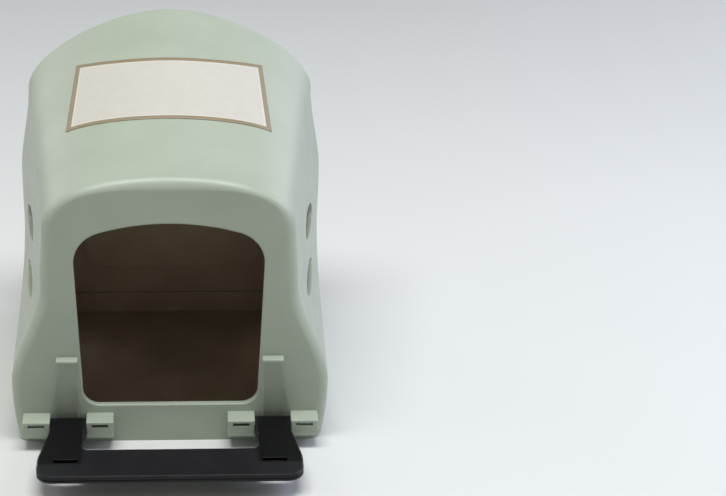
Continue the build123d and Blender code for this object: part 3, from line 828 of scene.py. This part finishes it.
@dataclass
class Hood:
    """The sage hood: shell, hinge lugs, catch shelves and screw posts."""

    form: HoodForm = field(default_factory=HoodForm)
    vents: tuple = (Vent(behind=176.0, z=212.0, length=100.0, height=38.0, lean=radians(-10.0)),
                    Vent(behind=113.0, z=166.0, length=98.0, height=20.0, lean=0.0))
    # Wall that a vent's patch takes round it, and the collar behind the vent
    vent_margin: float = 7.0
    vent_collar: float = 8.0
    vent_collar_wall: float = 2.4
    vent_collar_points: int = 7
    slide_steps: int = 6
    # Rolled edges: the rear rim and the vents, the doorway's front edge and its collar
    rim_radius: float = 1.1
    rim_points: int = 4
    door_edge: float = 1.8
    collar_depth: float = 8.0
    collar_edge: float = 1.2
    collar_points: int = 5
    # Steps of the shell's grid
    nose_steps: int = 12
    wall_steps: int = 48
    face_steps: int = 60
    inside_steps: int = 24
    inside_last: float = 0.985
    # How far the channels may bulge inwards beside the tray, and how fast that grows above its brim
    tray_clear: float = 1.5
    tray_lean: float = 4.0
    tray_top_z: float = 31.0
    # Hinge lugs
    lug_inner_x: float = 69.0
    lug_outer_x: float = 145.8
    lug_width: float = 33.0
    lug_depth: float = 24.0
    lug_top_z: float = 40.0
    lug_foot_z: float = 12.0
    lug_wall: float = 3.5
    lug_flat: float = 9.0
    lug_chin: float = 4.0
    lug_cheek: float = 11.0
    lug_edge: float = 1.2
    lug_slot: tuple = (20.0, 4.0)
    slot_edge: float = 0.6
    hollow_edge: float = 0.8
    hollow_drop: float = 0.4
    # How far the lugs' cutters reach past the nose and the foot, and stop short of the front face
    past_nose: float = 2.0
    past_foot: float = 4.0
    short_of_face: float = 1.0
    # Catch shelves: width, reach and height
    catch_x: float = 123.9
    catch_z: float = 115.0
    catch_size: tuple = (26.0, 11.0, 4.2)
    catch_edge: float = 1.0
    # Screw posts
    post_radius: float = 5.0
    post_length: float = 22.0
    post_edge: float = 0.6
    post_points: int = 28
    panel_thick: float = 3.0

    def wall_section(self) -> tuple[np.ndarray, np.ndarray, np.ndarray, int, int]:
        """The wall's cut from front to rear: nose, outer face, round rim, inner face and inner nose.

        Returns:
            Depth, inset and foot height of each row, and the outer and inner rows at the floor hole.
        """
        form, rim = self.form, self.rim_radius
        swing = np.linspace(0, form.nose_turn, self.nose_steps + 1)
        turned = np.sin(form.nose_turn) - np.sin(swing)
        inner_r = form.nose_radius - form.wall
        nose_y = form.front_y + form.nose_radius * (1 - np.cos(swing))
        inner_y = form.front_y + form.wall + inner_r * (1 - np.cos(swing))
        lip_y = form.front_y + form.lip_width
        run = np.linspace(lip_y, form.rear_y - rim, self.wall_steps + 1)
        quarter = np.linspace(0, pi / 2, self.rim_points)
        outer_arc, inner_arc = quarter[1:], quarter[:-1]
        y = [nose_y, run, form.rear_y - rim + rim * np.sin(outer_arc),
             form.rear_y - rim + rim * np.cos(inner_arc), run[::-1], inner_y[::-1]]
        inset = [form.nose_radius * turned, 0 * run, rim * (1 - np.cos(outer_arc)),
                 form.wall - rim * (1 - np.sin(inner_arc)), form.wall + 0 * run,
                 form.wall + inner_r * turned[::-1]]
        low = [0 * nose_y, 0 * run, inset[2], inset[3], inset[4], form.wall + 0 * inner_y]
        first = len(nose_y)
        last = first + 2 * len(run) + len(outer_arc) + len(inner_arc) - 1
        return np.concatenate(y), np.concatenate(inset), np.concatenate(low), first, last

    def front_rows(self, nose: np.ndarray, inner: np.ndarray) -> np.ndarray:
        """Rows from the inner nose to the doorway's collar and back out over the front face.

        Args:
            nose: the outline where the nose leaves the front face.
            inner: the outline where the inner nose leaves the front wall's inside.
        Returns:
            Points shaped (rows, points, 3).
        """
        form = self.form
        rays = nose[:, [0, 2]] - np.array([0.0, form.door_eye_z])
        quarter = np.linspace(0, pi / 2, self.collar_points)
        back = form.front_y + self.collar_depth - self.collar_edge
        grow = [np.full(2, form.wall), form.wall - self.collar_edge * (1 - np.cos(quarter[1:])),
                self.collar_edge * (1 - np.sin(quarter)), self.door_edge * (1 - np.cos(quarter))]
        depth = [np.array([form.front_y + form.wall, back]), back + self.collar_edge * np.sin(quarter[1:]),
                 back + self.collar_edge * np.cos(quarter),
                 form.front_y + self.door_edge * (1 - np.sin(quarter))]
        rows = [form.door(rays, y, g) for y, g in zip(np.concatenate(depth), np.concatenate(grow))]
        shares = np.linspace(0, self.inside_last, self.inside_steps)[1:, None, None]
        inside = inner + (rows[0] - inner) * shares
        push = form.channel(inside[..., 0], inside[..., 2], form.wall)
        clear = self.tray_clear + self.tray_lean * np.clip(inside[..., 2] - self.tray_top_z, 0, None)
        inside[..., 1] += np.minimum(push, clear)
        shares = np.linspace(0, 1, self.face_steps + 1)[1:-1, None, None]
        face = rows[-1] + (nose - rows[-1]) * shares
        face[..., 1] += form.channel(face[..., 0], face[..., 2], 0.0)
        return np.concatenate([inside, np.stack(rows), face])

    def vent_patch(self, rim: np.ndarray, vent: Vent) -> tuple[np.ndarray, list]:
        """The wall round one vent, from a loop of the shell's own points in to the oval and back inside.

        Loops slide from the shell's points to the oval, roll over its edge, run in along a short collar,
        round the collar's end in a half circle, and go back along the wall's inner face.

        Args:
            rim: points of the shell round the vent, in order, on its outer face.
            vent: the vent.
        Returns:
            Points and faces.
        """
        form, edge, round_r = self.form, self.rim_radius, self.vent_collar_wall / 2
        middle = np.array([form.front_y + vent.behind, vent.z])
        axes = np.array([[np.cos(vent.lean), np.sin(vent.lean)], [-np.sin(vent.lean), np.cos(vent.lean)]])
        half = np.array([vent.length, vent.height]) / 2
        local = (rim[:, 1:] - middle) @ axes.T / half
        swing = np.arctan2(local[:, 1], local[:, 0])
        unit = np.stack([np.cos(swing), np.sin(swing)], -1)
        quarter = np.linspace(0, pi / 2, self.rim_points)[1:]
        turn = np.linspace(0, pi, self.vent_collar_points)
        slide = np.linspace(0, 1, self.slide_steps)
        flat = np.ones(self.slide_steps)
        shares = np.concatenate([slide, np.ones(len(quarter) + len(turn)), slide[::-1]])
        spread = np.concatenate([edge * flat, edge * (1 - np.sin(quarter)),
                                 round_r * (1 - np.cos(turn)), self.vent_collar_wall * flat])
        depth = np.concatenate([0 * flat, edge * (1 - np.cos(quarter)),
                                self.vent_collar - round_r + round_r * np.sin(turn), form.wall * flat])
        oval = middle + ((half + spread[:, None, None]) * unit) @ axes
        loops = rim[None, :, 1:] + (oval - rim[None, :, 1:]) * shares[:, None, None]
        x = form.side_x(loops[..., 0], loops[..., 1]) - depth[:, None]
        points = np.concatenate([x[..., None], loops], -1)
        faces = grid_faces(len(depth), len(rim), False, True).reshape(-1, 4).tolist()
        return points.reshape(-1, 3), faces

    def vent_window(self, vent: Vent, walls: np.ndarray, first: int) -> tuple[int, int, int, int]:
        """The stretch of the wall's grid that a vent takes on the right, with a margin round it.

        A leaning oval's half reach and half rise are the hypotenuses of its two half axes' shares.

        Args:
            vent: the vent.
            walls: the wall's points, shaped (rows, points, 3).
            first: the row where the nose ends.
        Returns:
            First row, last row, first column and last column.
        """
        reach = np.hypot(vent.length * np.cos(vent.lean), vent.height * np.sin(vent.lean)) / 2
        rise = np.hypot(vent.length * np.sin(vent.lean), vent.height * np.cos(vent.lean)) / 2
        along = walls[first:first + self.wall_steps + 1, 0, 1] - self.form.front_y - vent.behind
        k0, k1 = first + np.searchsorted(along, [-reach - self.vent_margin, reach + self.vent_margin])
        heights = walls[(k0 + k1) // 2, :walls.shape[1] // 2, 2] - vent.z
        i0, i1 = np.searchsorted(heights, [-rise - self.vent_margin, rise + self.vent_margin])
        return k0, k1, i0, i1

    def shell(self) -> bpy.types.Object:
        """Roof, sides, front and floor lip as one closed surface with its vents and floor hole.

        The grid's faces are left out where the vents and the hole go. Patches fill in round the vents, and
        strips between the outer and the inner face close the edge of the hole.

        Returns:
            The shell.
        """
        form, flat = self.form, self.form.flat_steps
        y, inset, low, first, last = self.wall_section()
        walls = form.outline(y, inset, low)
        points = np.concatenate([walls, self.front_rows(walls[0], walls[-1])])
        rows, cols = points.shape[:2]
        numbers = np.arange(rows * cols).reshape(rows, cols)
        faces = grid_faces(rows, cols, True, True)
        keep = np.ones(faces.shape[:2], bool)
        keep[first:last, :flat] = False
        keep[first:last, cols - flat:] = False
        patches = []
        for vent in self.vents:
            k0, k1, i0, i1 = self.vent_window(vent, walls, first)
            for a, b in ((k0, k1), (first + last - k1, first + last - k0)):
                keep[a:b, i0:i1] = False
                keep[a:b, cols - i1:cols - i0] = False
            rim = np.concatenate([points[k0:k1, i0], points[k1, i0:i1],
                                  points[k1:k0:-1, i1], points[k0, i1:i0:-1]])
            around, quads = self.vent_patch(rim, vent)
            patches += [(around, quads), (mirrored(around), quads)]
        shown = faces[keep].tolist()
        half = (last - first) // 2
        for col in (flat, cols - flat):
            shown += strip_faces(numbers[first:first + half + 1, col],
                                 numbers[last - half:last + 1, col][::-1])
        across = np.arange(-flat, flat + 1) % cols
        shown += strip_faces(numbers[first, across], numbers[last, across])
        return new_mesh("hood_shell", *joined([(points.reshape(-1, 3), shown), *patches]))

    def lug(self, x0: float, name: str) -> bpy.types.Object:
        """One hinge lug with rolled edges, hollow below and slotted through its nose.

        Args:
            x0: its low X.
            name: the piece's name.
        Returns:
            The lug.
        """
        face, foot, top, wall = self.form.front_y, self.lug_foot_z, self.lug_top_z, self.lug_wall
        x1, front, root = x0 + self.lug_width, face - self.lug_depth, face + self.form.wall / 2
        cheek = foot + self.lug_cheek
        outer = [(root, foot), (root, top), (front, top), (front, cheek),
                 (front + self.lug_chin, foot + self.lug_chin), (face - self.lug_flat, foot)]
        piece = new_mesh(name, *rounded_prism(outer, x0, x1, self.lug_edge))
        width, height = self.lug_slot
        middle, ceiling = x0 + self.lug_width / 2, top - wall
        mouth, stop = front - self.past_nose, face - self.short_of_face
        slot = [(mouth, ceiling - height), (stop, ceiling - height), (stop, ceiling), (mouth, ceiling)]
        cutter = rounded_prism(slot, middle - width / 2, middle + width / 2, self.slot_edge)
        carve(piece, new_mesh("slot", *cutter))
        inner, low, lid = front + wall, foot - self.past_foot, ceiling - self.hollow_drop
        hollow = [(inner, cheek), (inner + self.lug_chin, low), (stop, low), (stop, lid), (inner, lid)]
        cutter = rounded_prism(hollow, x0 + wall, x1 - wall, self.hollow_edge)
        carve(piece, new_mesh("hollow", *cutter))
        return piece

    def catches(self) -> bpy.types.Object:
        """The two short shelves that the folded perch snaps over.

        Returns:
            Both shelves as one piece.
        """
        width, reach, height = self.catch_size
        front, root = self.form.front_y - reach, self.form.front_y + self.form.wall / 2
        low, top = self.catch_z - height / 2, self.catch_z + height / 2
        box = [(front, low), (root, low), (root, top), (front, top)]
        left, right = self.catch_x - width / 2, self.catch_x + width / 2
        points, faces = rounded_prism(box, left, right, self.catch_edge)
        return new_mesh("hood_catches", *joined([(points, faces), (mirrored(points), faces)]))

    def posts(self) -> bpy.types.Object:
        """Round posts inside the rear corners, in line with the panel's screws.

        Returns:
            The four posts as one piece.
        """
        solid = frame["nodes"]["back_screws"].data
        screws = np.zeros(3 * len(solid.vertices), np.float32)
        solid.vertices.foreach_get("co", screws)
        screws = screws.reshape(-1, 3) / MM
        high = screws[:, 2] > screws[:, 2].mean()
        swing = np.arange(self.post_points) * 2 * pi / self.post_points
        ring = self.post_radius * np.stack([np.cos(swing), np.sin(swing)], -1)
        end = self.form.rear_y - self.panel_thick
        parts = []
        for upper in (True, False):
            near = screws[(high == upper) & (screws[:, 0] > 0)]
            eye = (near.min(0) + near.max(0))[[0, 2]] / 2
            profile = (ring + eye).tolist()
            points, faces = rounded_prism(profile, end - self.post_length, end, self.post_edge)
            points = points[:, [1, 0, 2]]
            parts += [(points, faces), (mirrored(points), faces)]
        return new_mesh("hood_screw_posts", *joined(parts))

    def build(self) -> None:
        """Builds every piece of the hood in place of its plain solid."""
        material = SAGE.material()
        pieces = [self.shell(), self.catches(), self.posts()]
        inner, outer, width = self.lug_inner_x, self.lug_outer_x, self.lug_width
        for name, x0 in (("inner_right", inner), ("outer_right", outer), ("inner_left", -inner - width),
                         ("outer_left", -outer - width)):
            pieces.append(self.lug(x0, f"hood_lug_{name}"))
        for piece in pieces:
            settle(piece, material)
            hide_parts("hood")


@dataclass
class RoofLabel:
    """The bare label that lies over the roof, its long edges bowed back towards the sides."""

    form: HoodForm = field(default_factory=HoodForm)
    middle: float = 177.5
    length: float = 120.0
    rear_width: float = 232.0
    front_width: float = 249.0
    rear_bow: float = 31.0
    front_bow: float = 17.0
    glue: float = 0.3
    thick: float = 0.5
    cols: int = 121
    rows: int = 49

    def edge(self, across: np.ndarray, width: float, crown: float, bow: float) -> np.ndarray:
        """Depth of a bowed edge: a circle's arc through its crown and its two ends.

        Args:
            across: places across.
            width: the chord's length.
            crown: depth at the middle.
            bow: how far back the ends lie.
        Returns:
            Depths.
        """
        radius = (width ** 2 / 4 + bow ** 2) / (2 * bow)
        return crown + radius - np.sqrt(radius ** 2 - across ** 2)

    def build(self) -> None:
        """Builds the label in place of its plain solid."""
        s, t = np.meshgrid(np.linspace(-1, 1, self.cols), np.linspace(0, 1, self.rows))
        front = self.form.front_y + self.middle - self.length / 2
        x_front, x_rear = s * self.front_width / 2, s * self.rear_width / 2
        y_front = self.edge(x_front, self.front_width, front, self.front_bow)
        y_rear = self.edge(x_rear, self.rear_width, front + self.length, self.rear_bow)
        x, y = x_front + (x_rear - x_front) * t, y_front + (y_rear - y_front) * t
        z = self.form.roof_z(x, y) + self.glue + self.thick
        points = np.stack([x, y, z], -1).reshape(-1, 3)
        faces = grid_faces(self.rows, self.cols, False, False).reshape(-1, 4)
        piece = new_mesh("label_film", points, faces.tolist())
        uv = np.stack([s / 2 + 0.5, t], -1).reshape(-1, 2)
        layer = piece.data.uv_layers.new(name="label")
        corner = np.zeros(len(piece.data.loops), np.int32)
        piece.data.loops.foreach_get("vertex_index", corner)
        layer.data.foreach_set("uv", uv[corner].astype(np.float32).ravel())
        body = piece.modifiers.new("film", "SOLIDIFY")
        body.thickness = self.thick * MM
        body.offset = -1.0
        settle(piece, LABEL.material(self.front_width, self.length))
        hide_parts("roof_label")


@dataclass
class Furniture:
    """The pieces whose solids already have their true shape: perch, tray, panel, pins and screws."""

    def build(self) -> None:
        """Dresses each piece in the finish of the slot that the record gives it."""
        finishes = {Slot.DARK: UMBER.material(), Slot.BLACK: BLACK.material(), Slot.STEEL: STEEL.material()}
        for subpart in frame["record"]["subparts"]:
            material = finishes.get(Slot(subpart["material_slot"]))
            if material:
                dress(frame["nodes"][subpart["node"]], material)
                LOG.info("%s: %s", subpart["node"], material.name)


@dataclass(frozen=True)
class Lamp:
    """One soft area light: its place and size in metres, its power in watts and its tint."""

    name: str
    place: tuple
    size: tuple
    power: float
    tint: str


@dataclass
class Studio:
    """Plain pale floor, soft light and a camera at the photograph's angle."""

    picture_width: int = 726
    focal_px: float = 2491.3
    sensor_mm: float = 36.0
    # The camera's place and aim, in millimetres
    place: tuple = (28.9, -2806.3, 1581.5)
    aim: tuple = (229.4, -170.0, 261.8)
    roll: float = radians(1.6)
    # The floor, in metres
    floor_radius: float = 2.0
    floor_points: int = 180
    floor_colours: tuple = ("CCCFCB", "D1D4D0")
    floor_clouds_per_m: float = 1.5
    floor_roughness: float = 0.75
    # Brightness of the room's walls and of its ceiling
    room_colour: str = "FFFFFF"
    room_strength: tuple = (0.62, 0.2)
    # Sines of the two angles above level between which the walls fade into the ceiling
    room_turn: tuple = (0.12, 0.4)
    # The point that every lamp faces, in metres
    lit: tuple = (0.0, -0.05, 0.25)
    lamps: tuple = (Lamp("overhead", (0.0, -0.45, 2.4), (2.0, 0.6), 54.0, "FFFFFF"),
                    Lamp("left_side", (-2.0, -0.1, 1.2), (1.0, 1.2), 8.0, "FDF9FF"),
                    Lamp("left_rim", (-1.7, 1.5, 1.1), (1.0, 1.4), 6.0, "FDF9FF"),
                    Lamp("right_side", (2.0, -0.1, 1.2), (1.0, 1.2), 22.5, "E2E5FF"),
                    Lamp("right_rim", (1.7, 1.5, 1.1), (1.0, 1.4), 9.0, "E2E5FF"),
                    Lamp("front_fill", (0.0, -3.4, 0.7), (1.4, 0.8), 1.0, "FFFFFF"))

    def camera(self) -> None:
        """Sets up the camera: it looks from its place to its aim and rolls about that line."""
        data = bpy.data.cameras.new("camera")
        data.sensor_width = self.sensor_mm
        data.lens = self.sensor_mm * self.focal_px / self.picture_width
        camera = bpy.data.objects.new("camera", data)
        bpy.context.scene.collection.objects.link(camera)
        look = Vector(self.aim) - Vector(self.place)
        camera.location = Vector(self.place) * MM
        camera.rotation_mode = "QUATERNION"
        camera.rotation_quaternion = look.to_track_quat("-Z", "Y") @ Quaternion((0, 0, 1), self.roll)
        bpy.context.scene.camera = camera

    def floor(self) -> None:
        """Lays a wide round floor under the box."""
        swing = np.arange(self.floor_points) * 2 * pi / self.floor_points
        rim = self.floor_radius / MM * np.stack([np.cos(swing), np.sin(swing), 0 * swing], -1)
        floor = new_mesh("studio_floor", rim, [list(range(self.floor_points))])
        material, tree, shader = new_material("pale_paper_floor")
        place = add_node(tree, "ShaderNodeTexCoord", {}, {}).outputs["Object"]
        clouds = add_node(tree, "ShaderNodeTexNoise", {}, {
            "Vector": place, "Scale": self.floor_clouds_per_m})
        pale, paler = (linear(code) for code in self.floor_colours)
        mix = add_node(tree, "ShaderNodeMix", {"data_type": "RGBA"}, {
            MIX_SHARE: clouds.outputs["Fac"], COLOUR_A: pale, COLOUR_B: paler})
        tree.links.new(mix.outputs[COLOUR_OUT], shader.inputs["Base Color"])
        shader.inputs["Roughness"].default_value = self.floor_roughness
        dress(floor, material)

    def light(self, lamp: Lamp) -> None:
        """Hangs one soft area light that faces the box.

        Args:
            lamp: the light.
        """
        data = bpy.data.lights.new(lamp.name, "AREA")
        data.shape = "RECTANGLE"
        data.size, data.size_y = lamp.size
        data.energy = lamp.power
        data.color = linear(lamp.tint)[:3]
        hung = bpy.data.objects.new(lamp.name, data)
        bpy.context.scene.collection.objects.link(hung)
        hung.location = lamp.place
        hung.rotation_mode = "QUATERNION"
        hung.rotation_quaternion = (Vector(self.lit) - Vector(lamp.place)).to_track_quat("-Z", "Y")

    def room(self) -> None:
        """Sets up the room's own light: pale walls all round, and a dimmer ceiling."""
        world = bpy.data.worlds.new("soft_room")
        world.use_nodes = True
        tree = world.node_tree
        way = add_node(tree, "ShaderNodeTexCoord", {}, {}).outputs["Object"]
        apart = add_node(tree, "ShaderNodeSeparateXYZ", {}, {"Vector": way})
        wall, ceiling = self.room_strength
        strength = add_node(tree, "ShaderNodeMapRange", {}, {
            "Value": apart.outputs["Z"], "From Min": self.room_turn[0], "From Max": self.room_turn[1],
            "To Min": wall, "To Max": ceiling})
        back = tree.nodes["Background"]
        back.inputs["Color"].default_value = linear(self.room_colour)
        tree.links.new(strength.outputs["Result"], back.inputs["Strength"])
        bpy.context.scene.world = world

    def build(self) -> None:
        """Sets up the room, the floor, the lamps and the camera."""
        self.room()
        self.floor()
        for lamp in self.lamps:
            self.light(lamp)
        bpy.context.scene.view_settings.view_transform = "Standard"
        self.camera()


def main() -> None:
    """Builds the hood, the label, the other pieces and the studio."""
    logging.basicConfig(level=logging.INFO, format="%(name)s %(message)s")
    Hood().build()
    RoofLabel().build()
    Furniture().build()
    Studio().build()


if __name__ == "__main__":
    main()
